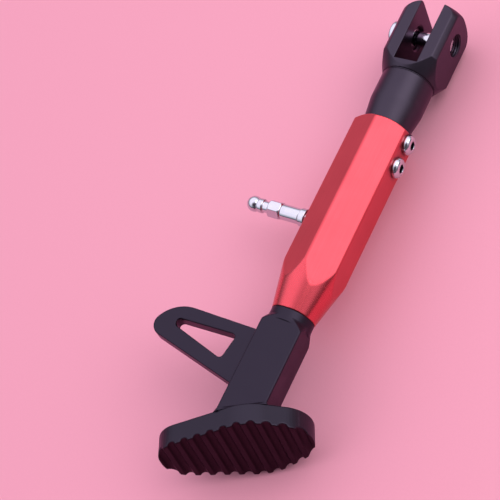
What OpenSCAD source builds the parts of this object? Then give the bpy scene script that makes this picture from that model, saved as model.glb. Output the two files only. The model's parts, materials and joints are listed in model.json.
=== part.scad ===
// Adjustable motorcycle kickstand leg.
// X is the pivot axis, Y runs up the leg to the fork, Z is the front of the fork.
// The origin is the centre of the pivot. All sizes are in millimetres.

/* [Fork] */
// width and depth of the square fork block
block_w = 30; // [29:0.5:34]
// diameter that the block's four corners are turned to
corner_d = 38.9; // [38.5:0.1:40]
// height of the block's top above the pivot
fork_top = 14.6; // [13:0.2:17]
// radius turned round the top of the block
top_round = 7; // [5:0.5:8]
// width of the slot that takes the bracket
slot_w = 12.5; // [10:0.5:14]
// depth of the slot below the pivot
slot_depth = 22.6; // [18:0.2:24]
// diameter of the ear holes
ear_hole_d = 12; // [11:0.5:13]
// diameter of the neck below the block
neck_d = 27.8; // [26:0.2:29]
// diameter of the stem that slides in the sleeve
stem_d = 22; // [20:0.5:22.5]

/* [Pivot bolt] */
// diameter of the bolt's shank
shank_d = 8; // [6:0.5:9]
// diameter of the bolt's head
bolt_head_d = 14; // [13:0.1:15]
// height of the bolt's head
bolt_head_h = 5.6; // [4:0.1:6]

/* [Sleeve] */
// distance across the sleeve's flats
sleeve_af = 28.8; // [27.5:0.1:31]
// length of the sleeve
sleeve_len = 109; // [105:0.5:113]
// half angle of the cone at the sleeve's lower end
cone_angle = 12; // [11.5:0.1:13]

/* [Clamp screws] */
// distance between the two clamp screws
screw_gap = 13.8; // [12:0.1:16]
// diameter of a clamp screw's head
screw_head_d = 10.5; // [9:0.1:11.5]
// height of a clamp screw's head
screw_head_h = 3.3; // [2.5:0.1:4]

/* [Spring post] */
// distance of the spring post below the pivot
post_drop = 114.6; // [110:0.2:118]
// diameter of the post's ball end
ball_d = 8.2; // [7.5:0.1:9]
// diameter of the spacer on the post
spacer_d = 8.1; // [7.5:0.1:8.6]

/* [Lower leg] */
// width of the square bar
bar_w = 21; // [19:0.5:22]
// angle of the square bar about the leg's axis
bar_turn = 6; // [0:1:8]
// distance of the sole below the pivot, along the leg's axis
sole_drop = 233; // [229:0.5:240]

/* [Kick tab] */
// thickness of the tab
tab_t = 8; // [5:0.5:10]
// reach of the tab from the leg's axis
tab_reach = 62.7; // [58:0.1:66]

/* [Foot pad] */
// length of the pad
pad_len = 74.5; // [72:0.5:78]
// width of the pad
pad_w = 46; // [42:0.5:50]
// thickness of the pad, ribs included
pad_t = 11; // [9:0.1:12]
// distance between two grooves of the sole
groove_pitch = 6.76; // [6:0.02:6.9]

/* [Hidden] */
$fn = 96;
eps = 0.01;

run_gap = 0.05;             // radial gap of a running fit
half_block = block_w / 2;
corner_r = corner_d / 2;
neck_r = neck_d / 2;
stem_r = stem_d / 2;
hole_r = ear_hole_d / 2;
shank_r = shank_d / 2;
ear_t = (block_w - slot_w) / 2;
counterbore = 2.2;          // depth of the wide hole in the right ear's outer face
mouth_edge = 0.4;           // bevel at the counterbore's mouth
ear_edge = 1;               // bevel of the left ear's hole, inside the slot
bolt_crown = 1.6;           // rounding of the bolt's head
tip_edge = 0.8;             // bevel at the bolt's tip
tip_x = half_block - counterbore - 0.1;
shoulder_gap = 1.6;         // the bolt's shoulder ends this far inside the left ear

// axial stations of the fork, measured up the leg
block_low = -17.8;          // where the block's corners end
neck_high = -27.4;          // where the cone under the block meets the neck
neck_low = -42.9;           // where the neck starts to taper
sleeve_top = -56.4;         // the taper's shoulder seats here
taper_r = 12.1;
stem_end = -127;
stem_flat = 0.9;            // depth of the flat that the clamp screws bear on

// sleeve
sleeve_r = sleeve_af / 2 / cos(30);
sleeve_low = sleeve_top - sleeve_len;
sleeve_edge = 1.2;          // rounding of the six long edges
cone_low_r = 11.25;
cone_rise = (sleeve_r - cone_low_r) / tan(cone_angle);
mouth_r = 13.9;             // where the top chamfer starts
mouth_drop = 1.7;
guide_end = -133;           // end of the stem's bore
spigot_r = 8.5;
spigot_top = -137;
set_screw_y = -144;
set_screw_turn = 210;       // it stands in the sleeve's rear left flat
set_screw_r = 2.5;

// clamp screws
screw_mid = -68.4;
screw_y = [screw_mid + screw_gap / 2, screw_mid - screw_gap / 2];
thread_r = 3;
bearing_x = stem_r - stem_flat;

// spring post, measured out from the leg's axis
post_seat = sleeve_af / 2;
post_neck_r = 3;
post_in = stem_r + 0.3;     // the stud's inner end stays clear of the stem
flange_in = 17;
flange_out = 20.5;
spacer_out = 31;
nut_out = 38.5;
bead_in = 41.6;
bead_out = 44.9;
bead_r = 3.7;
ball_x = 47.4;
flange_r = 4.7;
nut_af = 8.4;

// lower leg
half_bar = bar_w / 2;
bar_corner = half_bar * sqrt(2);
collar_r = 11.06;
collar_low = -169.6;
square_high = -174.5;       // where the bar's corners are full
bar_low = -236;

// foot pad: its own frame has x along the pad, y across it and z out of the sole
pad_tilt = 28.8;
pad_roll = 12.6;
pad_yaw = 3.6;
pad_mid_v = -8.2;           // pad's middle from the leg's axis, across the pad
pad_wide_u = 8.5;           // where the pad is widest, from its middle
pad_right_r = 17.5;
pad_left_r = 14;
pad_left_v = 1.4;
groove_count = 11;
groove_first = -33.9;
groove_r = 2.1;
groove_depth = 1.8;
foot_fillet = 1.5;
sole_y = -sole_drop;

// kick tab
tab_front = 3;              // front face, from the leg's axis
tab_back = tab_front - tab_t;
tab_high = -178;
tab_high_slope = 0.032;
tab_low_slope = -0.209;
crown_r = 18;               // the tab's top rounds over at this radius, then at the tip's
crown_end = 155;            // direction in which the two arcs meet
tip_r = 6;
tip_x0 = tip_r - tab_reach;
crown_x0 = tip_x0 - (crown_r - tip_r) * cos(crown_end);
crown_y0 = tab_high + tab_high_slope * (crown_x0 + half_bar)
           - crown_r / cos(atan(tab_high_slope));
tip_y0 = crown_y0 + (crown_r - tip_r) * sin(crown_end);
root_fillet = 1.5;
tab_fillet = 1.5;

module along_leg() rotate([-90, 0, 0]) children();
module along_pin() rotate([0, 90, 0]) children();
module out_left() rotate([0, -90, 0]) children();
module at_set_screw() translate([0, set_screw_y, 0]) rotate([0, set_screw_turn, 0]) children();
module in_bar() rotate([0, bar_turn, 0]) children();

// the pad's frame: tilted in the plane of the bar's front, rolled about its own length, then
// turned about its own upright
module at_pad()
    in_bar()
        translate([0, sole_y, 0])
            rotate([0, 0, pad_tilt])
                rotate([90 - pad_roll, 0, 0])
                    rotate([0, 0, pad_yaw])
                        children();

function arc(cx, cy, r, a0, a1, steps) =
    [for (i = [0 : steps]) let (a = a0 + (a1 - a0) * i / steps) [cx + r * cos(a), cy + r * sin(a)]];

// button head with a hexagon socket, seated on z = 0 and rising: straight up to the rim, then
// rounded over in to the crown's radius
module button_head(d, h, rim, crown_r, socket_af) {
    difference() {
        rotate_extrude()
            polygon(concat([[0, 0], [d / 2, 0]],
                           [for (i = [0 : 8])
                               let (a = 90 * i / 8)
                               [crown_r + (d / 2 - crown_r) * cos(a), rim + (h - rim) * sin(a)]],
                           [[0, h]]));
        translate([0, 0, h - h * 0.6])
            cylinder(d = socket_af / cos(30), h = h, $fn = 6);
    }
}

// hexagonal bar with its long edges rounded
module hex_bar(af, h, edge)
    linear_extrude(h)
        intersection() {
            circle(r = af / 2 / cos(30), $fn = 6);
            circle(r = af / 2 / cos(30) - edge * 0.28);
        }

module clevis_stem()
    color([0.17, 0.17, 0.19])
    difference() {
        intersection() {
            along_leg()
                rotate_extrude()
                    polygon(concat(
                        [[0, stem_end], [stem_r - 1, stem_end], [stem_r, stem_end + 1],
                         [stem_r, sleeve_top], [taper_r, sleeve_top], [neck_r, neck_low],
                         [neck_r, neck_high], [corner_r, block_low]],
                        arc(corner_r - top_round, fork_top - top_round, top_round, 0, 90, 12),
                        [[0, fork_top]]));
            translate([-half_block, stem_end - 1, -half_block])
                cube([block_w, fork_top - stem_end + 2, block_w]);
        }
        translate([-slot_w / 2, -slot_depth, -block_w])
            cube([slot_w, slot_depth + fork_top + 1, 2 * block_w]);
        // plain hole through the left ear, tapped hole and counterbore in the right ear
        translate([-block_w, 0, 0])
            along_pin()
                cylinder(r = hole_r, h = block_w);
        translate([-slot_w / 2 - ear_edge, 0, 0])
            along_pin()
                cylinder(r1 = hole_r, r2 = hole_r + ear_edge, h = ear_edge + eps);
        along_pin()
            cylinder(r = shank_r + run_gap, h = block_w);
        translate([half_block - counterbore, 0, 0])
            along_pin()
                cylinder(r = hole_r, h = ear_t);
        translate([half_block - mouth_edge, 0, 0])
            along_pin()
                cylinder(r1 = hole_r, r2 = hole_r + mouth_edge, h = mouth_edge + eps);
        // flat for the clamp screws
        translate([bearing_x, stem_end - 1, -stem_r])
            cube([stem_r, sleeve_top - stem_end - 1, stem_d]);
    }

module pivot_bolt()
    color([0.82, 0.82, 0.84])
    union() {
        translate([-half_block, 0, 0])
            out_left()
                button_head(bolt_head_d, bolt_head_h, bolt_head_h - bolt_crown,
                            bolt_head_d / 2 - bolt_crown, 5);
        translate([-half_block, 0, 0])
            along_pin()
                cylinder(r = hole_r - run_gap, h = ear_t - shoulder_gap);
        translate([-half_block, 0, 0])
            along_pin()
                cylinder(r = shank_r, h = tip_x - tip_edge + half_block);
        translate([tip_x - tip_edge, 0, 0])
            along_pin()
                cylinder(r1 = shank_r, r2 = shank_r - tip_edge, h = tip_edge);
    }

module sleeve()
    color([0.82, 0.16, 0.2])
    difference() {
        intersection() {
            translate([0, sleeve_low, 0])
                along_leg()
                    rotate(30)
                        hex_bar(sleeve_af, sleeve_len, sleeve_edge);
            along_leg()
                rotate_extrude()
                    polygon([[0, sleeve_low], [cone_low_r, sleeve_low],
                             [sleeve_r, sleeve_low + cone_rise],
                             [sleeve_r, sleeve_top - mouth_drop], [mouth_r, sleeve_top],
                             [0, sleeve_top]]);
        }
        translate([0, guide_end, 0])
            along_leg()
                cylinder(r = stem_r + run_gap, h = sleeve_top - guide_end + 1);
        translate([0, sleeve_low - 1, 0])
            along_leg()
                cylinder(r = spigot_r, h = guide_end - sleeve_low + 2);
        for (y = screw_y)
            translate([0, y, 0])
                along_pin()
                    cylinder(r = thread_r + run_gap, h = sleeve_r + 1);
        translate([0, -post_drop, 0])
            out_left()
                cylinder(r = post_neck_r, h = sleeve_r + 1);
        at_set_screw()
            cylinder(r = set_screw_r, h = sleeve_r + 1);
    }

module clamp_screw(y)
    color([0.82, 0.82, 0.84])
    translate([0, y, 0])
        along_pin() {
            translate([0, 0, sleeve_af / 2])
                button_head(screw_head_d, screw_head_h, screw_head_h * 0.22,
                            screw_head_d * 0.27, 4);
            translate([0, 0, bearing_x])
                cylinder(r = thread_r, h = sleeve_af / 2 - bearing_x + eps);
        }

module clamp_screw_upper() clamp_screw(screw_y[0]);
module clamp_screw_lower() clamp_screw(screw_y[1]);

module post_stud()
    color([0.85, 0.85, 0.87])
    translate([0, -post_drop, 0])
        out_left()
            rotate_extrude()
                polygon(concat(
                    [[0, post_in], [post_neck_r, post_in], [post_neck_r, bead_in],
                     [bead_r - 0.5, bead_in], [bead_r, bead_in + 0.5],
                     [bead_r, bead_out - 0.5], [bead_r - 0.5, bead_out]],
                    arc(0, ball_x, ball_d / 2, -44, 90, 16)));

// a ring on the post's stud from one distance out of the leg to another
module post_ring(r, x0, x1, edge)
    translate([0, -post_drop, 0])
        out_left()
            rotate_extrude()
                polygon([[post_neck_r, x0], [r - edge, x0], [r, x0 + edge],
                         [r, x1 - edge], [r - edge, x1], [post_neck_r, x1]]);

module post_flange()
    color([0.85, 0.85, 0.87])
    post_ring(flange_r, flange_in, flange_out, 0.4);

module post_spacer()
    color([0.85, 0.85, 0.87])
    post_ring(spacer_d / 2, flange_out, spacer_out, 0.25);

module post_nut()
    color([0.85, 0.85, 0.87])
    intersection() {
        translate([-nut_out, -post_drop, 0])
            along_pin()
                difference() {
                    rotate(30)
                        hex_bar(nut_af, nut_out - spacer_out, 0.4);
                    translate([0, 0, -1])
                        cylinder(r = post_neck_r, h = nut_out);
                }
        post_ring(nut_af / 2 / cos(30), spacer_out, nut_out, 0.6);
    }

// screw in the rear of the sleeve that locks the lower leg's spigot
module spigot_set_screw()
    color([0.2, 0.2, 0.21])
    at_set_screw()
        difference() {
            translate([0, 0, spigot_r - 1])
                cylinder(r = set_screw_r, h = 4.6);
            translate([0, 0, spigot_r + 1.6])
                cylinder(d = 2.5 / cos(30), h = 4, $fn = 6);
        }

module lower_leg()
    color([0.17, 0.17, 0.19])
    difference() {
        intersection() {
            union() {
                in_bar()
                    translate([-half_bar, bar_low, -half_bar])
                        cube([bar_w, collar_low - bar_low, bar_w]);
                translate([0, collar_low - eps, 0])
                    along_leg()
                        cylinder(r = collar_r, h = spigot_top - collar_low + 1);
            }
            along_leg()
                rotate_extrude()
                    polygon([[0, bar_low], [bar_corner, bar_low], [bar_corner, square_high],
                             [collar_r, collar_low], [collar_r, sleeve_low],
                             [spigot_r, sleeve_low], [spigot_r, spigot_top - 1],
                             [spigot_r - 1, spigot_top], [0, spigot_top]]);
        }
        at_pad()
            translate([-pad_len, -pad_len, -pad_t])
                cube([2 * pad_len, 2 * pad_len, 4 * pad_t]);
        at_set_screw()
            translate([0, 0, spigot_r - 1])
                cylinder(r = set_screw_r, h = 10);
    }

// height of the tab's upper and lower edge at x
function tab_top(x) = tab_high + tab_high_slope * (x + half_bar);
function tab_bottom(x) =
    let (a = 270 + atan(tab_low_slope))
    tip_y0 + tip_r * sin(a) + tab_low_slope * (x - tip_x0 - tip_r * cos(a));

module tab_outline() {
    fx = -half_bar - root_fillet;
    top_turn = atan(tab_high_slope);
    low_turn = atan(tab_low_slope);
    polygon(concat(
        arc(fx, tab_top(fx) + root_fillet / cos(top_turn), root_fillet, 0, top_turn - 90, 6),
        arc(crown_x0, crown_y0, crown_r, 90 + top_turn, crown_end, 12),
        arc(tip_x0, tip_y0, tip_r, crown_end, 270 + low_turn, 14),
        arc(fx, tab_bottom(fx) - root_fillet / cos(low_turn), root_fillet, 90 + low_turn, 0, 6)));
}

module tab_window()
    polygon(concat(
        arc(-22.9, -186.3, 1.8, 0, 94, 6),
        arc(-49.8, -188.8, 2.2, 94, 256, 10),
        arc(-24.5, -195.6, 1.9, 256, 352, 6)));

module kick_tab()
    color([0.17, 0.17, 0.19])
    in_bar()
        translate([0, 0, tab_back])
            linear_extrude(tab_t)
                difference() {
                    tab_outline();
                    tab_window();
                }

// fillets on the front and the back of the tab's root
module tab_weld()
    color([0.15, 0.15, 0.17])
    in_bar()
        for (face = [[tab_front, tab_fillet], [tab_back, -tab_fillet]])
            translate([-half_bar, tab_top(-half_bar), face[0]])
                rotate([90, 0, 0])
                    linear_extrude(tab_top(-half_bar) - tab_bottom(-half_bar))
                        polygon([[0, 0], [0, face[1]], [-tab_fillet * 0.4, face[1] * 0.4],
                                 [-tab_fillet, 0]]);

module pad_outline() {
    wide_r = pad_w / 2;
    right_u = pad_len / 2 - pad_right_r;
    left_u = pad_left_r - pad_len / 2;
    right_a = acos((wide_r - pad_right_r) / (right_u - pad_wide_u));
    left_run = norm([pad_wide_u - left_u, pad_left_v]);
    left_a = 180 - atan(pad_left_v / (pad_wide_u - left_u))
             - acos((wide_r - pad_left_r) / left_run);
    polygon(concat(
        arc(right_u, 0, pad_right_r, -right_a, right_a, 24),
        arc(pad_wide_u, 0, wide_r, right_a, left_a, 12),
        arc(left_u, pad_left_v, pad_left_r, left_a, 180, 10),
        arc(left_u, -pad_left_v, pad_left_r, 180, 360 - left_a, 10),
        arc(pad_wide_u, 0, wide_r, 360 - left_a, 360 - right_a, 12)));
}

module foot_pad()
    color([0.16, 0.16, 0.18])
    at_pad()
        translate([0, pad_mid_v, 0])
            difference() {
                translate([0, 0, -pad_t])
                    linear_extrude(pad_t)
                        pad_outline();
                for (i = [0 : groove_count - 1])
                    translate([groove_first + i * groove_pitch, pad_w, groove_r - groove_depth])
                        rotate([90, 0, 0])
                            cylinder(r = groove_r, h = 2 * pad_w, $fn = 32);
            }

// the bar's foot grown by a margin, cut to a thin sheet at some height over the pad's back
module bar_slice(grow, height)
    intersection() {
        at_pad()
            translate([-pad_len, -pad_len, -pad_t - height - eps])
                cube([2 * pad_len, 2 * pad_len, eps]);
        in_bar()
            translate([-half_bar - grow, bar_low, -half_bar - grow])
                cube([bar_w + 2 * grow, 60, bar_w + 2 * grow]);
    }

// sloping bead round the bar's foot, kept on the pad's upper face
module foot_weld()
    color([0.15, 0.15, 0.17])
    difference() {
        intersection() {
            hull() {
                bar_slice(foot_fillet, 0);
                bar_slice(0, foot_fillet);
            }
            at_pad()
                translate([0, pad_mid_v, -2 * pad_t])
                    linear_extrude(pad_t)
                        pad_outline();
        }
        in_bar()
            translate([-half_bar, bar_low - 1, -half_bar])
                cube([bar_w, 60, bar_w]);
    }

clevis_stem();
pivot_bolt();
sleeve();
clamp_screw_upper();
clamp_screw_lower();
post_stud();
post_flange();
post_spacer();
post_nut();
spigot_set_screw();
lower_leg();
kick_tab();
tab_weld();
foot_pad();
foot_weld();
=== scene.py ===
"""Adjustable motorcycle kickstand: detailed pieces, materials, floor, light and camera.

Each piece is a shape function of x, y and z in millimetres that is negative inside the metal.
solid() meshes it and places it in the frame. X is the pivot axis, Y runs up the leg, Z is the
front. The sizes come from the boxes of the CAD nodes where those say them.
"""
import bpy, json, math
import numpy as np
from mathutils import Matrix, Vector

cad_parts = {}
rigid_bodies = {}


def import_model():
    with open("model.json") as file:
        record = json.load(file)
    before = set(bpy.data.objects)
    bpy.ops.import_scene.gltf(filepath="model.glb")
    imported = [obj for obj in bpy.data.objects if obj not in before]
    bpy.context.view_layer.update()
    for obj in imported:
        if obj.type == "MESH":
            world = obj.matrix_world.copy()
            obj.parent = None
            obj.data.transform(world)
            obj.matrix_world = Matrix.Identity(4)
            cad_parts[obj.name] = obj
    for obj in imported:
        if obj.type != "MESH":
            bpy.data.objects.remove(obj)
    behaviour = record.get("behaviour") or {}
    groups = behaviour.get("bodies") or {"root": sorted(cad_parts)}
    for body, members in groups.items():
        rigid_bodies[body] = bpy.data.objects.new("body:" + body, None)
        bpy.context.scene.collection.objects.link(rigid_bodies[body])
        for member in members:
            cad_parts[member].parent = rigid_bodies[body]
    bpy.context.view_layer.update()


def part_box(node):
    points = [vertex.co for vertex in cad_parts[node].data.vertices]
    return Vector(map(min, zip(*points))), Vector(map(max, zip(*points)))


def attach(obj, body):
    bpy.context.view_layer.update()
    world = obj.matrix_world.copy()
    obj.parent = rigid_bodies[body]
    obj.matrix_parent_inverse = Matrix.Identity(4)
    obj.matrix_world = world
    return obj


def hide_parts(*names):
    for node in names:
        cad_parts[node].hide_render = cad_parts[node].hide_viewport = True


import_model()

MM = 0.001
COARSE = 1.0

# ---------------------------------------------------------------- shape functions


def join(a, b, k):
    """Union with a fillet of about k."""
    h = np.maximum(k - np.abs(a - b), 0)
    return np.minimum(a, b) - h * h / (4 * k)


def meet(a, b, k):
    """Intersection whose edge is rounded by about k."""
    return -join(-a, -b, k)


def cut(a, b, k):
    """a without b, with its edge rounded by about k."""
    return meet(a, -b, k)


def between(s, low, high):
    """Distance outside the span from low to high."""
    return np.abs(s - (low + high) / 2) - (high - low) / 2


def slope(r, s, a, b):
    """Distance outside the line from a to b, each (radius, station), with b further up."""
    run, rise = b[0] - a[0], b[1] - a[1]
    return ((r - a[0]) * rise - (s - a[1]) * run) / math.hypot(run, rise)


def rounded(corners, steps=5):
    """Closed outline with an arc at each corner, given as (x, y, radius)."""
    points = []
    for i, (x, y, radius) in enumerate(corners):
        if radius == 0:
            points.append((x, y))
            continue
        here = Vector((x, y))
        back = (Vector(corners[i - 1][:2]) - here).normalized()
        ahead = (Vector(corners[(i + 1) % len(corners)][:2]) - here).normalized()
        half = back.angle(ahead) / 2
        centre = here + (back + ahead).normalized() * radius / math.sin(half)
        start = here + back * radius / math.tan(half) - centre
        turn = math.copysign(math.pi - 2 * half, back.cross(ahead))
        for j in range(steps + 1):
            a = -turn * j / steps
            points.append((centre.x + start.x * math.cos(a) - start.y * math.sin(a),
                           centre.y + start.x * math.sin(a) + start.y * math.cos(a)))
    return points


def outline(points, px, py):
    """Signed distance to a closed outline, negative inside."""
    nearest = np.full(np.broadcast(px, py).shape, 1e9)
    inside = np.zeros(nearest.shape, bool)
    for (ax, ay), (bx, by) in zip(points, points[1:] + points[:1]):
        ex, ey = bx - ax, by - ay
        wx, wy = px - ax, py - ay
        t = np.clip((wx * ex + wy * ey) / (ex * ex + ey * ey), 0, 1)
        nearest = np.minimum(nearest, (wx - ex * t) ** 2 + (wy - ey * t) ** 2)
        if ey:
            inside ^= ((ay > py) != (by > py)) & (px < ax + wy * ex / ey)
    return np.where(inside, -1, 1) * np.sqrt(nearest)


def hexagon(a, b, half, k, turn=0.0):
    """Six flats at a distance half from the middle, with rounded corners."""
    flats = []
    for i in range(3):
        t = turn + math.radians(60 * i)
        flats.append(np.abs(a * math.cos(t) + b * math.sin(t)) - half)
    return meet(meet(flats[0], flats[1], k), flats[2], k)


# ---------------------------------------------------------------- meshing


def ruler(low, high, step):
    """Even stations from low to high, with two steps more at each end."""
    pad = 2 * step
    return np.linspace(low - pad, high + pad, int((high - low + 2 * pad) / step) + 1)


def slopes(shape, p, h=0.02):
    """Gradient of a shape function at the points p, by steps of h to each side."""
    columns = []
    for axis in range(3):
        d = np.zeros(3)
        d[axis] = h
        columns.append(shape(*(p + d).T) - shape(*(p - d).T))
    return np.stack(columns, 1) / (2 * h)


def skin(shape, axes):
    """Closed mesh of quads where the shape function is zero, on a grid with these axes."""
    grid = np.meshgrid(*axes, indexing="ij", sparse=True)
    size = tuple(len(a) for a in axes)
    d = np.broadcast_to(shape(*grid), size)
    inside = d < 0
    corners = [(i, j, k) for i in (0, 1) for j in (0, 1) for k in (0, 1)]

    def part(field, c):
        return field[tuple(slice(o, n - 1 + o) for o, n in zip(c, size))]

    count = sum(part(inside, c).astype(np.int8) for c in corners)
    cells = np.argwhere((count > 0) & (count < 8))
    number = np.full([n - 1 for n in size], -1)
    number[tuple(cells.T)] = np.arange(len(cells))
    total = np.zeros((len(cells), 3))
    hits = np.zeros(len(cells))
    for a in corners:
        for axis in range(3):
            if a[axis]:
                continue
            b = list(a)
            b[axis] = 1
            at, bt = cells + a, cells + b
            da, db = d[tuple(at.T)], d[tuple(bt.T)]
            crosses = (da < 0) != (db < 0)
            t = np.where(crosses, da / np.where(crosses, da - db, 1), 0)
            for m in range(3):
                pa, pb = axes[m][at[:, m]], axes[m][bt[:, m]]
                total[:, m] += np.where(crosses, pa + (pb - pa) * t, 0)
            hits += crosses
    p = total / hits[:, None]
    step = min(a[1] - a[0] for a in axes)
    for _ in range(4):
        g = slopes(shape, p)
        move = shape(*p.T)[:, None] * g / np.maximum((g * g).sum(1), 0.05)[:, None]
        length = np.linalg.norm(move, axis=1, keepdims=True)
        p = p - move * np.minimum(1, 0.5 * step / np.maximum(length, 1e-9))
    g = slopes(shape, p)
    normals = g / np.maximum(np.linalg.norm(g, axis=1, keepdims=True), 1e-9)

    quads = []
    for axis in range(3):
        u, v = (axis + 1) % 3, (axis + 2) % 3
        first = [slice(1, n - 1) for n in size]
        first[axis] = slice(0, size[axis] - 1)
        second = list(first)
        second[axis] = slice(1, size[axis])
        low, high = inside[tuple(first)], inside[tuple(second)]
        at = np.argwhere(low != high)
        leaving = low[tuple(at.T)]
        base = at + 1
        base[:, axis] -= 1
        ring = []
        for du, dv in ((1, 1), (0, 1), (0, 0), (1, 0)):
            cell = base.copy()
            cell[:, u] -= du
            cell[:, v] -= dv
            ring.append(number[tuple(cell.T)])
        ring = np.stack(ring, 1)
        quads.append(np.where(leaving[:, None], ring, ring[:, ::-1]))
    return p, normals, np.concatenate(quads)


def solid(node, shape, axes, body, material, place=None, other=None, where=None):
    """Mesh a shape function as the piece that stands for a node. Its faces whose middle meets
    where(x, y, z) take the other material."""
    p, normals, quads = skin(shape, axes)
    place = place or Matrix()
    second = where(*p[quads].mean(1).T) if other else None
    turn = np.array(place.to_3x3())
    p = (p @ turn.T + np.array(place.translation)) * MM
    normals = normals @ turn.T
    mesh = bpy.data.meshes.new(node + "_visual")
    mesh.vertices.add(len(p))
    mesh.vertices.foreach_set("co", p.ravel())
    mesh.loops.add(quads.size)
    mesh.loops.foreach_set("vertex_index", quads.ravel())
    mesh.polygons.add(len(quads))
    mesh.polygons.foreach_set("loop_start", np.arange(0, quads.size, 4))
    mesh.update(calc_edges=True)
    mesh.shade_smooth()
    mesh.normals_split_custom_set_from_vertices(normals)
    mesh.materials.append(material)
    if other:
        mesh.materials.append(other)
        mesh.polygons.foreach_set("material_index", second.astype(np.int32))
    piece = bpy.data.objects.new(node + "_visual", mesh)
    bpy.context.collection.objects.link(piece)
    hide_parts(node)
    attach(piece, body)
    return piece


def box_mm(node):
    """Lowest and highest corner of a node's box, in millimetres."""
    low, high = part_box(node)
    return np.array(low) / MM, np.array(high) / MM


def middle(node, axis):
    low, high = box_mm(node)
    return (low[axis] + high[axis]) / 2


def cube_axes(node, step):
    """A grid over a node's box."""
    return [ruler(a, b, step * COARSE) for a, b in zip(*box_mm(node))]


# ---------------------------------------------------------------- materials


class Graph:
    """Short helpers for a tree of shader nodes."""

    def __init__(self, tree, coord):
        self.nt = tree
        self.coord = self.add("ShaderNodeTexCoord").outputs[coord]

    def add(self, kind, **sockets):
        node = self.nt.nodes.new(kind)
        for key, value in sockets.items():
            self.feed(node.inputs[key.replace("_", " ")], value)
        return node

    def feed(self, socket, value):
        if isinstance(value, bpy.types.NodeSocket):
            self.nt.links.new(value, socket)
        else:
            socket.default_value = value

    def stretch(self, scale):
        return self.add("ShaderNodeMapping", Vector=self.coord, Scale=scale).outputs[0]

    def noise(self, where, scale, detail=4.0, rough=0.55):
        node = self.add("ShaderNodeTexNoise", Vector=where, Scale=scale, Detail=detail)
        node.inputs["Roughness"].default_value = rough
        return node.outputs["Fac"]

    def ramp(self, fac, low, high, a, b):
        """fac from low to high becomes a to b."""
        node = self.add("ShaderNodeMapRange", Value=fac)
        for key, value in zip(("From Min", "From Max", "To Min", "To Max"), (low, high, a, b)):
            node.inputs[key].default_value = value
        return node.outputs[0]

    def math(self, operation, a, b):
        node = self.nt.nodes.new("ShaderNodeMath")
        node.operation = operation
        self.feed(node.inputs[0], a)
        self.feed(node.inputs[1], b)
        return node.outputs[0]

    def mix(self, fac, a, b):
        node = self.nt.nodes.new("ShaderNodeMix")
        node.data_type = "RGBA"
        self.feed(node.inputs[0], fac)
        self.feed(node.inputs[6], a)
        self.feed(node.inputs[7], b)
        return node.outputs[2]

    def bump(self, height, strength, distance, normal=None):
        node = self.add("ShaderNodeBump", Height=height, Strength=strength, Distance=distance)
        if normal is not None:
            self.feed(node.inputs["Normal"], normal)
        return node.outputs[0]


class Shade(Graph):
    """A material. Its coordinates are the object's own, in metres."""

    def __init__(self, name):
        self.mat = bpy.data.materials.new(name)
        self.mat.use_nodes = True
        super().__init__(self.mat.node_tree, "Object")
        self.bsdf = self.nt.nodes["Principled BSDF"]

    def set(self, **sockets):
        for key, value in sockets.items():
            self.feed(self.bsdf.inputs[key.replace("_", " ")], value)
        return self

    def edges(self, low, high):
        """Near 1 along the outer edges, 0 on the flats and in the corners."""
        return self.ramp(self.add("ShaderNodeNewGeometry").outputs["Pointiness"], low, high, 0, 1)


def scaled(r, g, b, gain):
    return (r * gain, g * gain, b * gain, 1)


EDGE_TINT = (1.0, 0.76, 0.92, 1)


def black_metal(name, tint, rough, turned=False):
    """Black finish on metal: a fine grain, uneven gloss and a painted highlight in patches along the
    outer edges.
    """
    s = Shade(name)
    grain = s.noise(s.coord, 2600, 3)
    cloud = s.noise(s.coord, 60, 5)
    tone = s.mix(cloud, scaled(*tint, 0.85), scaled(*tint, 1.18))
    # painted highlight: the outer edges are lightened in noise patches, standing in for the light that
    # rounded edges catch
    highlight_patches = s.ramp(s.noise(s.coord, 420, 4), 0.35, 0.75, 0, 0.5)
    painted_edge_highlight = s.math("MULTIPLY", s.edges(0.53, 0.62), highlight_patches)
    tone = s.mix(painted_edge_highlight, tone, scaled(*tint, 2.2))
    s.set(Base_Color=tone, Metallic=1.0, Roughness=s.ramp(cloud, 0.3, 0.7, rough - 0.05, rough + 0.06))
    s.set(Specular_Tint=EDGE_TINT)
    normal = s.bump(grain, 0.25, 0.00004)
    if turned:
        normal = s.bump(s.noise(s.stretch((40, 5200, 40)), 1.0, 2), 0.15, 0.00003, normal)
    s.set(Normal=normal)
    return s.mat


def red_anodised(name, rough):
    """Anodised aluminium with a fine grain along the leg, and painted shade that darkens it in corners,
    around the screw heads and next to the post.
    """
    s = Shade(name)
    drawn = s.noise(s.stretch((3600, 30, 3600)), 1.0, 3)
    speck = s.noise(s.coord, 3200, 2)
    cloud = s.noise(s.coord, 45, 4)
    tone = s.mix(s.ramp(cloud, 0.3, 0.7, 0, 1), (0.66, 0.080, 0.098, 1), (0.72, 0.092, 0.112, 1))
    tone = s.mix(s.ramp(drawn, 0.35, 0.65, 0, 0.35), tone, (0.56, 0.06, 0.078, 1))
    # painted shade: where the ambient-occlusion value is low, in corners and beside the screw heads, the
    # red is mixed towards near-black
    shade = s.add("ShaderNodeAmbientOcclusion", Distance=0.006).outputs["AO"]
    tone = s.mix(s.ramp(shade, 0.45, 0.95, 0.95, 0), tone, (0.05, 0.008, 0.014, 1))
    s.set(Base_Color=tone, Metallic=1.0, Roughness=s.ramp(speck, 0.3, 0.7, rough - 0.04, rough + 0.04))
    s.set(Normal=s.bump(drawn, 0.12, 0.00002, s.bump(speck, 0.2, 0.00003)))
    return s.mat


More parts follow.
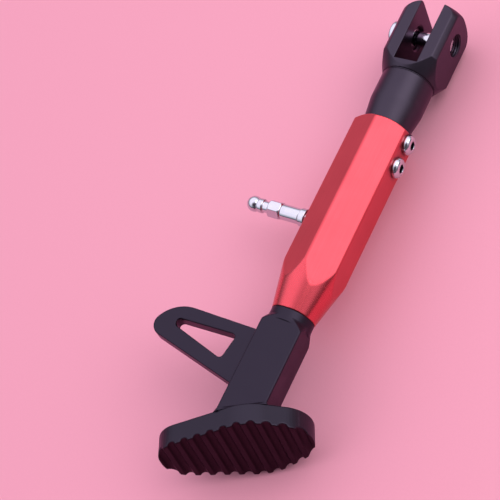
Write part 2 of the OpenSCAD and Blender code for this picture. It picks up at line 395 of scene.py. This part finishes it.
def chrome(name):
    """Bright plating with faint turning marks and smears."""
    s = Shade(name)
    smear = s.noise(s.coord, 220, 4)
    marks = s.noise(s.stretch((3800, 60, 60)), 1.0, 2)
    tone = s.mix(smear, (0.56, 0.57, 0.62, 1), (0.68, 0.68, 0.73, 1))
    s.set(Base_Color=tone, Metallic=1.0, Roughness=s.ramp(smear, 0.3, 0.7, 0.07, 0.15))
    s.set(Normal=s.bump(marks, 0.08, 0.00002))
    return s.mat


BLACK = black_metal("satin_black", (0.053, 0.043, 0.060), 0.38, turned=True)
BAR_BLACK = black_metal("leg_black", (0.033, 0.027, 0.040), 0.42)
PAD_BLACK = black_metal("pad_black", (0.038, 0.033, 0.046), 0.42)
# painted shade: a darker, redder copy of the pad's black for the sole, which faces the floor
SOLE_SHADED = black_metal("sole_shaded_black", (0.029, 0.011, 0.019), 0.55)
RED = red_anodised("red_anodised", 0.38)
RED_TURNED = red_anodised("red_turned", 0.26)
CHROME = chrome("bright_plate")

# ---------------------------------------------------------------- fork

fork_low, fork_high = box_mm("clevis_stem")
HALF = fork_high[0]
CORNER_R = HALF * 1.2967
TOP_ROUND = 7
SLOT_HALF = 6.25
SLOT_LOW = -22.6
BLOCK_LOW = -17.8
NECK_R = 13.9
NECK_HIGH = -27.4
NECK_LOW = -42.9
TAPER_R = 12.1
HOLE_R = 6
SHANK_R = 4
TAPPED_DEPTH = 2.2
THREAD_PITCH = 1.25
THREAD_CREST = 0.24
RELIEF_R = 0.45
RUN_GAP = 0.05
EDGE = 0.45
BLOCK_EDGE = 0.4
HOLE_EDGE = 0.3
STEM_END_EDGE = 1.2

sleeve_box_low, sleeve_box_high = box_mm("sleeve")
SLEEVE_LOW, SLEEVE_TOP = sleeve_box_low[1], sleeve_box_high[1]
STEM_R = 11
STEM_LOW = fork_low[1]
FLAT_X = 10.1


def fork(x, y, z):
    r = np.hypot(x, z)
    top = fork_high[1]
    square = meet(np.abs(x) - HALF, np.abs(z) - HALF, BLOCK_EDGE)
    across, rise = r - (CORNER_R - TOP_ROUND), y - (top - TOP_ROUND)
    dome = np.hypot(np.maximum(across, 0), np.maximum(rise, 0)) - TOP_ROUND
    dome = dome + np.minimum(np.maximum(across, rise), 0)
    block = meet(square, dome, BLOCK_EDGE)
    block = meet(block, slope(r, y, (NECK_R, NECK_HIGH), (CORNER_R, BLOCK_LOW)), 0.25)
    neck = meet(r - NECK_R, slope(r, y, (TAPER_R, SLEEVE_TOP), (NECK_R, NECK_LOW)), 0.2)
    neck = meet(neck, SLEEVE_TOP - y, EDGE)
    neck = np.maximum(neck, y - NECK_HIGH - 2)
    stem = meet(r - STEM_R, STEM_LOW - y, STEM_END_EDGE)
    stem = np.maximum(stem, y - SLEEVE_TOP - 2)
    stem = np.where(y < SLEEVE_TOP - 1, meet(stem, x - FLAT_X, HOLE_EDGE), stem)
    body = np.minimum(join(block, neck, BLOCK_EDGE), stem)
    body = cut(body, np.hypot(r - NECK_R, y - NECK_HIGH) - RELIEF_R, 0.15)
    body = cut(body, np.maximum(np.abs(x) - SLOT_HALF, SLOT_LOW - y), EDGE)
    ring = np.hypot(y, z)
    lip = np.maximum(0, x + SLOT_HALF + 1)
    left_hole = np.maximum(ring - HOLE_R - lip, x)
    tapped = np.maximum(ring - SHANK_R - RUN_GAP, -x)
    turn = np.arctan2(z, y) / (2 * math.pi)
    crest = THREAD_CREST * np.cos(2 * math.pi * (turn + (x - HALF + 0.45) / THREAD_PITCH))
    mouth = np.maximum(0, x - HALF + 0.4)
    threaded = np.maximum(ring - HOLE_R - crest - mouth, HALF - TAPPED_DEPTH - x)
    body = cut(body, left_hole, HOLE_EDGE)
    body = cut(body, tapped, HOLE_EDGE)
    return cut(body, threaded, HOLE_EDGE)


FORK_STEP = 0.42
STEM_STEP = 1.2
fork_axes = cube_axes("clevis_stem", FORK_STEP)
fork_axes[1] = np.concatenate([np.arange(STEM_LOW - 2, SLEEVE_TOP - 3, STEM_STEP),
                               np.arange(SLEEVE_TOP - 3, fork_high[1] + 2, FORK_STEP * COARSE)])
solid("clevis_stem", fork, fork_axes, "fork", BLACK)

# ---------------------------------------------------------------- screws


def button_head(out, ring, a, b, radius, height, rim, crown, socket):
    """Round head rising along out from 0, with a hexagon socket."""
    corners = [(0, 0, 0), (radius, 0, 0.25), (radius, rim, 0.3)]
    for i in range(1, 7):
        t = math.radians(15 * i)
        corners.append((crown + (radius - crown) * math.cos(t), rim + (height - rim) * math.sin(t), 0))
    head = rounded(corners + [(0, height, 0)])
    shape = outline(head, ring, out)
    bore = np.maximum(hexagon(a, b, socket / 2, 0.2), height * 0.4 - out)
    cone = (ring - socket * 0.5 - (out - height + 0.5)) * 0.7
    return cut(cut(shape, bore, 0.2), np.maximum(cone, height - 0.7 - out), 0.15)


bolt_low, bolt_high = box_mm("pivot_bolt")
BOLT_HEAD_R = bolt_high[1]
BOLT_RIM, BOLT_CROWN, BOLT_SOCKET = 4, 5.4, 5
SCREW_RIM, SCREW_CROWN, SCREW_SOCKET = 0.75, 2.9, 4
SCREW_SHANK_R = 3


def pivot_bolt(x, y, z):
    ring = np.hypot(y, z)
    head = button_head(-HALF - x, ring, y, z, BOLT_HEAD_R, -HALF - bolt_low[0],
                       BOLT_RIM, BOLT_CROWN, BOLT_SOCKET)
    tip = bolt_high[0]
    shoulder_end = -SLOT_HALF - 1.6
    shank = rounded([(0, -HALF - 0.3, 0), (HOLE_R - RUN_GAP, -HALF - 0.3, 0),
                     (HOLE_R - RUN_GAP, shoulder_end, 0.3), (SHANK_R, shoulder_end, 0.2),
                     (SHANK_R, tip - 0.8, 0.2), (SHANK_R - 0.8, tip, 0.2), (0, tip, 0)])
    return np.minimum(head, outline(shank, ring, x))


# painted shade: the bolt's plated shoulder, inside the left ear, takes the black finish
solid("pivot_bolt", pivot_bolt, cube_axes("pivot_bolt", 0.3), "bolt", CHROME,
      other=BLACK, where=lambda x, y, z: (x > -HALF) & (np.hypot(y, z) > SHANK_R + 0.3))


def clamp_screw(node):
    """The shape of a clamp screw, and a test for the faces inside its socket, which take the black
    finish as painted shade.
    """
    low, high = box_mm(node)
    centre = middle(node, 1)
    radius = (high[1] - low[1]) / 2
    seat = sleeve_box_high[0]

    def shape(x, y, z):
        ring = np.hypot(y - centre, z)
        head = button_head(x - seat, ring, y - centre, z, radius, high[0] - seat,
                           SCREW_RIM, SCREW_CROWN, SCREW_SOCKET)
        shank = np.maximum(ring - SCREW_SHANK_R, between(x, low[0], seat + 0.3))
        return np.minimum(head, shank)

    def socket(x, y, z):
        return (x > seat + 0.5) & (x < high[0] - 0.35) & (np.hypot(y - centre, z) < 0.6 * SCREW_SOCKET)
    return shape, socket


for node, body in (("clamp_screw_upper", "upper_screw"), ("clamp_screw_lower", "lower_screw")):
    screw, socket = clamp_screw(node)
    # painted shade: the plated faces inside each socket take the black finish
    solid(node, screw, cube_axes(node, 0.2), body, CHROME, other=BLACK, where=socket)

# ---------------------------------------------------------------- sleeve

CONE_LOW_R = 11.25
CONE_SLOPE = math.tan(math.radians(12))
MOUTH_R = 13.9
MOUTH_DROP = 1.7
CONE_HEIGHT = 30
SLEEVE_EDGE = 0.35
GUIDE_END = -133
SPIGOT_R = 8.5
SET_SCREW_Y = -144
SET_SCREW_TURN = math.radians(210)
SET_SCREW_R, SET_SCREW_LEN, SET_SCREW_KEY = 2.5, 4.6, 2.5
STUD_R, POST_BORE_R = 3, 2.9
NUT_CHAMFER = 0.9
HALF_FLATS = sleeve_box_high[0]
SLEEVE_R = HALF_FLATS / math.cos(math.radians(30))
POST_Y = middle("post_flange", 1)
SCREW_HOLES = [middle(node, 1) for node in ("clamp_screw_upper", "clamp_screw_lower")]


def set_screw_frame(x, y, z):
    """Distance out along the set screw and the two distances across it."""
    out = x * math.sin(SET_SCREW_TURN) + z * math.cos(SET_SCREW_TURN)
    side = x * math.cos(SET_SCREW_TURN) - z * math.sin(SET_SCREW_TURN)
    return out, side, y - SET_SCREW_Y


def sleeve(x, y, z):
    r = np.hypot(x, z)
    body = hexagon(x, z, HALF_FLATS, 0.9)
    cone = slope(r, y, (CONE_LOW_R, SLEEVE_LOW), (CONE_LOW_R + 20 * CONE_SLOPE, SLEEVE_LOW + 20))
    body = meet(body, cone, SLEEVE_EDGE)
    mouth = slope(r, y, (SLEEVE_R, SLEEVE_TOP - MOUTH_DROP), (MOUTH_R, SLEEVE_TOP))
    body = meet(body, mouth, SLEEVE_EDGE)
    body = meet(body, between(y, SLEEVE_LOW, SLEEVE_TOP), SLEEVE_EDGE)
    body = cut(body, np.maximum(r - STEM_R - RUN_GAP, GUIDE_END - y), 0.5)
    body = cut(body, r - SPIGOT_R, HOLE_EDGE)
    for hole_y in SCREW_HOLES:
        body = cut(body, np.maximum(np.hypot(y - hole_y, z) - SCREW_SHANK_R - RUN_GAP, -x), HOLE_EDGE)
    body = cut(body, np.maximum(np.hypot(y - POST_Y, z) - STUD_R, x), HOLE_EDGE)
    out, side, rise = set_screw_frame(x, y, z)
    return cut(body, np.maximum(np.hypot(side, rise) - SET_SCREW_R, -out), 0.4)


sleeve_axes = cube_axes("sleeve", 0.45)
PLAIN_LOW, PLAIN_HIGH = -130, -80      # the stretch with nothing but flats and the post's hole
sleeve_axes[1] = np.concatenate([np.arange(SLEEVE_LOW - 1, PLAIN_LOW, 0.6 * COARSE),
                                 np.arange(PLAIN_LOW, PLAIN_HIGH, 0.8 * COARSE),
                                 np.arange(PLAIN_HIGH, SLEEVE_TOP + 1, 0.5 * COARSE)])


def on_cone(x, y, z):
    """True on the turned lower end of the sleeve, which is shinier than its flats."""
    cone_r = CONE_LOW_R + (y - SLEEVE_LOW) * CONE_SLOPE
    return (np.hypot(x, z) > cone_r - 0.12) & (y < SLEEVE_LOW + CONE_HEIGHT)


solid("sleeve", sleeve, sleeve_axes, "leg", RED, other=RED_TURNED, where=on_cone)


def set_screw(x, y, z):
    out, side, rise = set_screw_frame(x, y, z)
    ring = np.hypot(side, rise)
    inner = SPIGOT_R - 1
    body = meet(ring - SET_SCREW_R, between(out, inner, inner + SET_SCREW_LEN), 0.4)
    return cut(body, np.maximum(hexagon(side, rise, SET_SCREW_KEY / 2, 0.1), SPIGOT_R + 1.6 - out), 0.15)


solid("spigot_set_screw", set_screw, cube_axes("spigot_set_screw", 0.16), "leg",
      BLACK)

# ---------------------------------------------------------------- spring post

FLANGE_IN, FLANGE_OUT, SPACER_OUT, NUT_OUT = 17, 20.5, 31, 38.5
BEAD_IN, BEAD_OUT, BEAD_R = 41.6, 44.9, 3.7
stud_low, stud_high = box_mm("post_stud")
BALL_R = (stud_high[1] - stud_low[1]) / 2
BALL_X = -stud_low[0] - BALL_R


def on_post(x, y, z):
    """Distance out along the post and distance from its axis."""
    return -x, np.hypot(y - POST_Y, z)


def ring_on_post(radius, start, end, edge):
    def shape(x, y, z):
        out, ring = on_post(x, y, z)
        return cut(meet(ring - radius, between(out, start, end), edge), ring - POST_BORE_R, 0.1)
    return shape


def post_stud(x, y, z):
    out, ring = on_post(x, y, z)
    rod = np.maximum(ring - STUD_R, between(out, STEM_R + 0.3, BALL_X))
    bead = meet(ring - BEAD_R, between(out, BEAD_IN, BEAD_OUT), 0.9)
    ball = np.hypot(ring, out - BALL_X) - BALL_R
    groove = np.hypot(ring - 3.75, out - BEAD_IN + 0.1) - 0.3
    return cut(join(join(rod, bead, 0.3), ball, 0.3), groove, 0.2)


def post_nut(x, y, z):
    out, ring = on_post(x, y, z)
    low, high = box_mm("post_nut")
    flats = hexagon(y - POST_Y, z, high[2], 0.4, math.radians(90))
    body = meet(flats, between(out, SPACER_OUT, NUT_OUT), 0.3)
    corner = (high[1] - low[1]) / 2
    for face, sign in ((SPACER_OUT, -1), (NUT_OUT, 1)):
        body = meet(body, (ring - corner + NUT_CHAMFER + sign * (out - face)) * 0.7, 0.3)
    return cut(body, ring - POST_BORE_R, 0.1)


POST_RINGS = (("post_flange", 4.7, FLANGE_IN, FLANGE_OUT, 0.6),
              ("post_spacer", 4.05, FLANGE_OUT, SPACER_OUT, 0.5))
for node, radius, start, end, edge in POST_RINGS:
    solid(node, ring_on_post(radius, start, end, edge), cube_axes(node, 0.22), "leg",
          CHROME)
solid("post_nut", post_nut, cube_axes("post_nut", 0.2), "leg", CHROME)
solid("post_stud", post_stud, cube_axes("post_stud", 0.24), "leg", CHROME)

# ---------------------------------------------------------------- lower leg, tab and foot

BAR = Matrix.Rotation(math.radians(6), 4, "Y")
SOLE_Y = -233
PAD_IN_BAR = Matrix.Translation((0, SOLE_Y, 0))
for angle, axis in ((28.8, "Z"), (90 - 12.6, "X"), (3.6, "Z")):
    PAD_IN_BAR = PAD_IN_BAR @ Matrix.Rotation(math.radians(angle), 4, axis)
TO_PAD = PAD_IN_BAR.inverted()
HALF_BAR = 10.5
COLLAR_R = 11.06
COLLAR_LOW = -169.6
SQUARE_HIGH = -174.5
SPIGOT_TOP = -137
BAR_LOW = -237
PAD_T = 11
BAR_EDGE = 1.1


def in_pad(x, y, z):
    return [row[0] * x + row[1] * y + row[2] * z + row[3] for row in TO_PAD[:3]]


def bar(x, y, z):
    return meet(np.abs(x) - HALF_BAR, np.abs(z) - HALF_BAR, BAR_EDGE)


def lower_leg(x, y, z):
    r = np.hypot(x, z)
    shoulder = slope(r, -y, (COLLAR_R, -COLLAR_LOW), (HALF_BAR * math.sqrt(2), -SQUARE_HIGH))
    square = meet(bar(x, y, z), shoulder, 0.5)
    collar = meet(r - COLLAR_R, y - SLEEVE_LOW, 0.3)
    collar = np.maximum(collar, COLLAR_LOW - 2 - y)
    spigot = meet(r - SPIGOT_R, y - SPIGOT_TOP, 1)
    spigot = np.maximum(spigot, SLEEVE_LOW - 2 - y)
    body = np.minimum(join(np.maximum(square, y - COLLAR_LOW), collar, 0.5), spigot)
    return np.maximum(body, in_pad(x, y, z)[2] + PAD_T - 0.8)


leg_axes = cube_axes("lower_leg", 0.45)
FINE_LOW, FINE_HIGH = -176, -162       # the collar and the shoulders of the bar
leg_axes[1] = np.concatenate([np.arange(BAR_LOW, FINE_LOW, 0.6 * COARSE),
                              np.arange(FINE_LOW, FINE_HIGH, 0.4 * COARSE),
                              np.arange(FINE_HIGH, SPIGOT_TOP + 2, 0.9)])
solid("lower_leg", lower_leg, leg_axes, "leg", BAR_BLACK, BAR)

TAB_FRONT, TAB_BACK = 3, -5
TAB_TOP, TAB_TOP_SLOPE, TAB_LOW_SLOPE = -178, 0.032, -0.209
TAB_TIP_X, TAB_ROOT_X = -62.7, 1.0 - HALF_BAR
TAB_EDGE = 0.7
TIP_R, CROWN_R, CROWN_END = 6, 18, math.radians(155)


def arc(cx, cy, radius, start, end, steps):
    turns = [start + (end - start) * i / steps for i in range(steps + 1)]
    return [(cx + radius * math.cos(a), cy + radius * math.sin(a)) for a in turns]


def closed(points):
    """The points without those that repeat the one before."""
    return [p for i, p in enumerate(points) if math.dist(p, points[i - 1]) > 0.01]


def tab_outline():
    """Straight upper edge, a top rounded at two radii, and a sloping lower edge."""
    top_turn, low_turn = math.atan(TAB_TOP_SLOPE), math.atan(TAB_LOW_SLOPE)
    tip_x = TAB_TIP_X + TIP_R
    crown_x = tip_x - (CROWN_R - TIP_R) * math.cos(CROWN_END)
    crown_y = TAB_TOP + TAB_TOP_SLOPE * (crown_x + HALF_BAR) - CROWN_R / math.cos(top_turn)
    tip_y = crown_y + (CROWN_R - TIP_R) * math.sin(CROWN_END)
    low_end = 1.5 * math.pi + low_turn
    points = arc(crown_x, crown_y, CROWN_R, math.pi / 2 + top_turn, CROWN_END, 12)
    points += arc(tip_x, tip_y, TIP_R, CROWN_END, low_end, 16)
    last_x, last_y = points[-1]
    points.append((TAB_ROOT_X, last_y + TAB_LOW_SLOPE * (TAB_ROOT_X - last_x)))
    points.append((TAB_ROOT_X, TAB_TOP + TAB_TOP_SLOPE * (TAB_ROOT_X + HALF_BAR)))
    return closed(points)


def window_outline():
    """Each end is a centre, a radius, the first and last angle, and a number of steps."""
    ends = ((-22.9, -186.3, 1.8, 0, 94, 6), (-49.8, -188.8, 2.2, 94, 256, 12),
            (-24.5, -195.6, 1.9, 256, 360, 6))
    points = []
    for cx, cy, radius, start, end, steps in ends:
        points += arc(cx, cy, radius, math.radians(start), math.radians(end), steps)
    return closed(points)


TAB, WINDOW = tab_outline(), window_outline()


def kick_tab(x, y, z):
    plate = meet(outline(TAB, x, y), between(z, TAB_BACK, TAB_FRONT), TAB_EDGE)
    return cut(plate, outline(WINDOW, x, y), TAB_EDGE)


tab_step = 0.42
tab_axes = cube_axes("kick_tab", tab_step)
tab_axes[0] = ruler(TAB_TIP_X, TAB_ROOT_X, tab_step * COARSE)
tab_axes[2] = ruler(TAB_BACK, TAB_FRONT, tab_step * COARSE)
solid("kick_tab", kick_tab, tab_axes, "leg", BAR_BLACK, BAR)

PAD_LEN, PAD_W = 74.5, 46
PAD_MID_V = -8.2
PAD_WIDE_U = 8.5
RIGHT_R, LEFT_R, LEFT_V = 17.5, 14, 1.4
GROOVES, GROOVE_FIRST, GROOVE_PITCH = 11, -33.9, 6.76
GROOVE_R, GROOVE_DEPTH = 2.1, 1.8
PAD_EDGE = 0.8


def pad_outline():
    wide_r = PAD_W / 2
    right_u, left_u = PAD_LEN / 2 - RIGHT_R, LEFT_R - PAD_LEN / 2
    right_a = math.acos((wide_r - RIGHT_R) / (right_u - PAD_WIDE_U))
    run = math.hypot(PAD_WIDE_U - left_u, LEFT_V)
    left_a = math.pi - math.atan(LEFT_V / (PAD_WIDE_U - left_u)) - math.acos((wide_r - LEFT_R) / run)
    points = arc(right_u, 0, RIGHT_R, -right_a, right_a, 24)
    points += arc(PAD_WIDE_U, 0, wide_r, right_a, left_a, 12)
    points += arc(left_u, LEFT_V, LEFT_R, left_a, math.pi, 10)
    points += arc(left_u, -LEFT_V, LEFT_R, math.pi, 2 * math.pi - left_a, 10)
    points += arc(PAD_WIDE_U, 0, wide_r, 2 * math.pi - left_a, 2 * math.pi - right_a, 12)
    return closed(points)


PAD = pad_outline()


def foot_pad(u, v, w):
    plate = meet(outline(PAD, u, v - PAD_MID_V), between(w, -PAD_T, 0), PAD_EDGE)
    nearest = np.clip(np.round((u - GROOVE_FIRST) / GROOVE_PITCH), 0, GROOVES - 1)
    across = u - GROOVE_FIRST - nearest * GROOVE_PITCH
    return cut(plate, np.hypot(across, w - GROOVE_R + GROOVE_DEPTH) - GROOVE_R, 0.5)


def shaded_sole(u, v, w):
    """The ribs' crests, and the grooves away from the pad's wall: the floor-facing sole, which takes a
    darker black as painted shade.
    """
    in_groove = (w > -GROOVE_DEPTH - 0.1) & (outline(PAD, u, v - PAD_MID_V) < -0.5)
    return (w > -0.4) | in_groove


pad_step = 0.46 * COARSE
pad_axes = [ruler(-PAD_LEN / 2, PAD_LEN / 2, pad_step),
            ruler(PAD_MID_V - PAD_W / 2, PAD_MID_V + PAD_W / 2, pad_step), ruler(-PAD_T, 0, pad_step)]
# The sole's faces take the darker black, as painted shade.
solid("foot_pad", foot_pad, pad_axes, "leg", PAD_BLACK, BAR @ PAD_IN_BAR,
      other=SOLE_SHADED, where=shaded_sole)


def weld(a, b, k):
    """The fillet between two shapes, sunk a little into both."""
    near = np.maximum(a, b) - 0.7 * k
    return np.maximum(np.maximum(join(a, b, k), near), np.maximum(-a, -b) - 0.3)


TAB_FILLET, FOOT_FILLET = 1.3, 1.6


def tab_weld(x, y, z):
    return weld(bar(x, y, z), kick_tab(x, y, z), TAB_FILLET)


def foot_weld(x, y, z):
    u, v, w = in_pad(x, y, z)
    return np.maximum(weld(bar(x, y, z), foot_pad(u, v, w), FOOT_FILLET), w + PAD_T - 0.5)


def weld_axes(node, low_x, high_x, low_z, high_z, step):
    """A grid over the spans given, in the bar's own frame, and over the node's height."""
    low, high = box_mm(node)
    return [ruler(low_x, high_x, step * COARSE), ruler(low[1] - 2, high[1] + 2, step * COARSE),
            ruler(low_z, high_z, step * COARSE)]


WELDS = (("tab_weld", tab_weld, (-12, -10, -7, 5, 0.2)),
         ("foot_weld", foot_weld, (-13, 13, -13, 13, 0.32)))
for node, fillet, span in WELDS:
    solid(node, fillet, weld_axes(node, *span), "leg", BAR_BLACK, BAR)

# ---------------------------------------------------------------- floor, light, camera


def floor_material():
    s = Shade("pale_card")
    fibre = s.noise(s.coord, 900, 4)
    s.set(Base_Color=s.mix(fibre, (0.88, 0.366, 0.462, 1), (0.92, 0.385, 0.485, 1)), Roughness=0.8)
    s.set(Specular_IOR_Level=0.2)
    s.set(Normal=s.bump(fibre, 0.1, 0.0001))
    return s.mat


FLOOR_TILT = math.radians(3.6)      # the fork's block and the pad's lower edge both rest on it
FLOOR_SIZE = 30


def floor_height():
    """Height of the tilted floor at y = 0, so that it touches the lowest points."""
    lowest = []
    for o in bpy.data.objects:
        if o.type == "MESH" and not o.hide_render:
            co = np.empty(3 * len(o.data.vertices))
            o.data.vertices.foreach_get("co", co)
            co = co.reshape(-1, 3)
            lowest.append((co[:, 2] - co[:, 1] * math.tan(FLOOR_TILT)).min())
    return min(lowest)


bpy.ops.mesh.primitive_plane_add(size=FLOOR_SIZE, location=(0, 0, floor_height()),
                                 rotation=(FLOOR_TILT, 0, 0))
floor = bpy.context.object
floor.name = "floor"
floor.data.materials.append(floor_material())

world = bpy.data.worlds.new("soft_room")
bpy.context.scene.world = world
world.use_nodes = True
room = Graph(world.node_tree, "Generated")
compass = room.add("ShaderNodeSeparateXYZ", Vector=room.coord).outputs
LEFT_TONE, RIGHT_TONE = (0.31, 0.365, 0.42, 1), (0.16, 0.15, 0.17, 1)
SKY_TONE, DIM_TONE = (1.15, 1.08, 1.24, 1), (0.07, 0.06, 0.075, 1)
DIM_SIDE = Vector((0.36, -0.665, 0.645)).normalized()
ACROSS, HORIZON, SKY_RISE, DIM_EDGE = (-0.6, 0.5), (0.02, 0.14), (0.18, 0.6), (0.67, 0.93)
ROOM_STRENGTH = 1.17
rim = room.mix(room.ramp(compass["X"], *ACROSS, 0, 1), LEFT_TONE, RIGHT_TONE)
rim = room.mix(room.ramp(compass["Z"], *HORIZON, 1, 0), rim, DIM_TONE)
sky = room.mix(room.ramp(compass["Z"], *SKY_RISE, 0, 1), rim, SKY_TONE)
toward = [room.math("MULTIPLY", compass[axis], part) for axis, part in zip("XYZ", DIM_SIDE)]
toward = room.math("ADD", room.math("ADD", toward[0], toward[1]), toward[2])
sky = room.mix(room.ramp(toward, *DIM_EDGE, 0, 1), sky, DIM_TONE)
background = world.node_tree.nodes["Background"]
room.feed(background.inputs["Color"], sky)
background.inputs["Strength"].default_value = ROOM_STRENGTH


def soft_box(name, place, aim, width, height, power, tone):
    """A rectangular lamp at place that faces aim, in metres and watts."""
    data = bpy.data.lights.new(name, "AREA")
    data.shape = "RECTANGLE"
    data.size, data.size_y, data.energy = width, height, power
    data.color = tone
    lamp = bpy.data.objects.new(name, data)
    bpy.context.collection.objects.link(lamp)
    lamp.location = place
    lamp.rotation_euler = (Vector(aim) - Vector(place)).to_track_quat("-Z", "Y").to_euler()
    return lamp


soft_box("key", (0.53, 0.24, 0.78), (0, -0.1, 0), 0.8, 0.8, 2.4, (1, 0.98, 0.97))
soft_box("fill", (-0.45, 0.2, 0.8), (0, -0.1, 0), 1.2, 1.2, 0.45, (0.92, 0.8, 1))

CAM_PLACE = Vector((0.2594, -0.3369, 0.5237))
CAM_AIM = Vector((-0.0378, -0.1393, 0.0))
CAM_ROLL = math.radians(34.07)
CAM_LENS, CAM_SENSOR = 91.99, 36
cam_data = bpy.data.cameras.new("camera")
cam_data.lens, cam_data.sensor_width = CAM_LENS, CAM_SENSOR
camera = bpy.data.objects.new("camera", cam_data)
bpy.context.collection.objects.link(camera)
look = (CAM_AIM - CAM_PLACE).normalized()
side = look.cross(Vector((0, 0, 1))).normalized()
over = side.cross(look)
up = over * math.cos(CAM_ROLL) + side * math.sin(CAM_ROLL)
right = look.cross(up)
camera.matrix_world = Matrix.Translation(CAM_PLACE) @ Matrix((right, up, -look)).transposed().to_4x4()
bpy.context.scene.camera = camera
bpy.context.scene.view_settings.view_transform = "Standard"
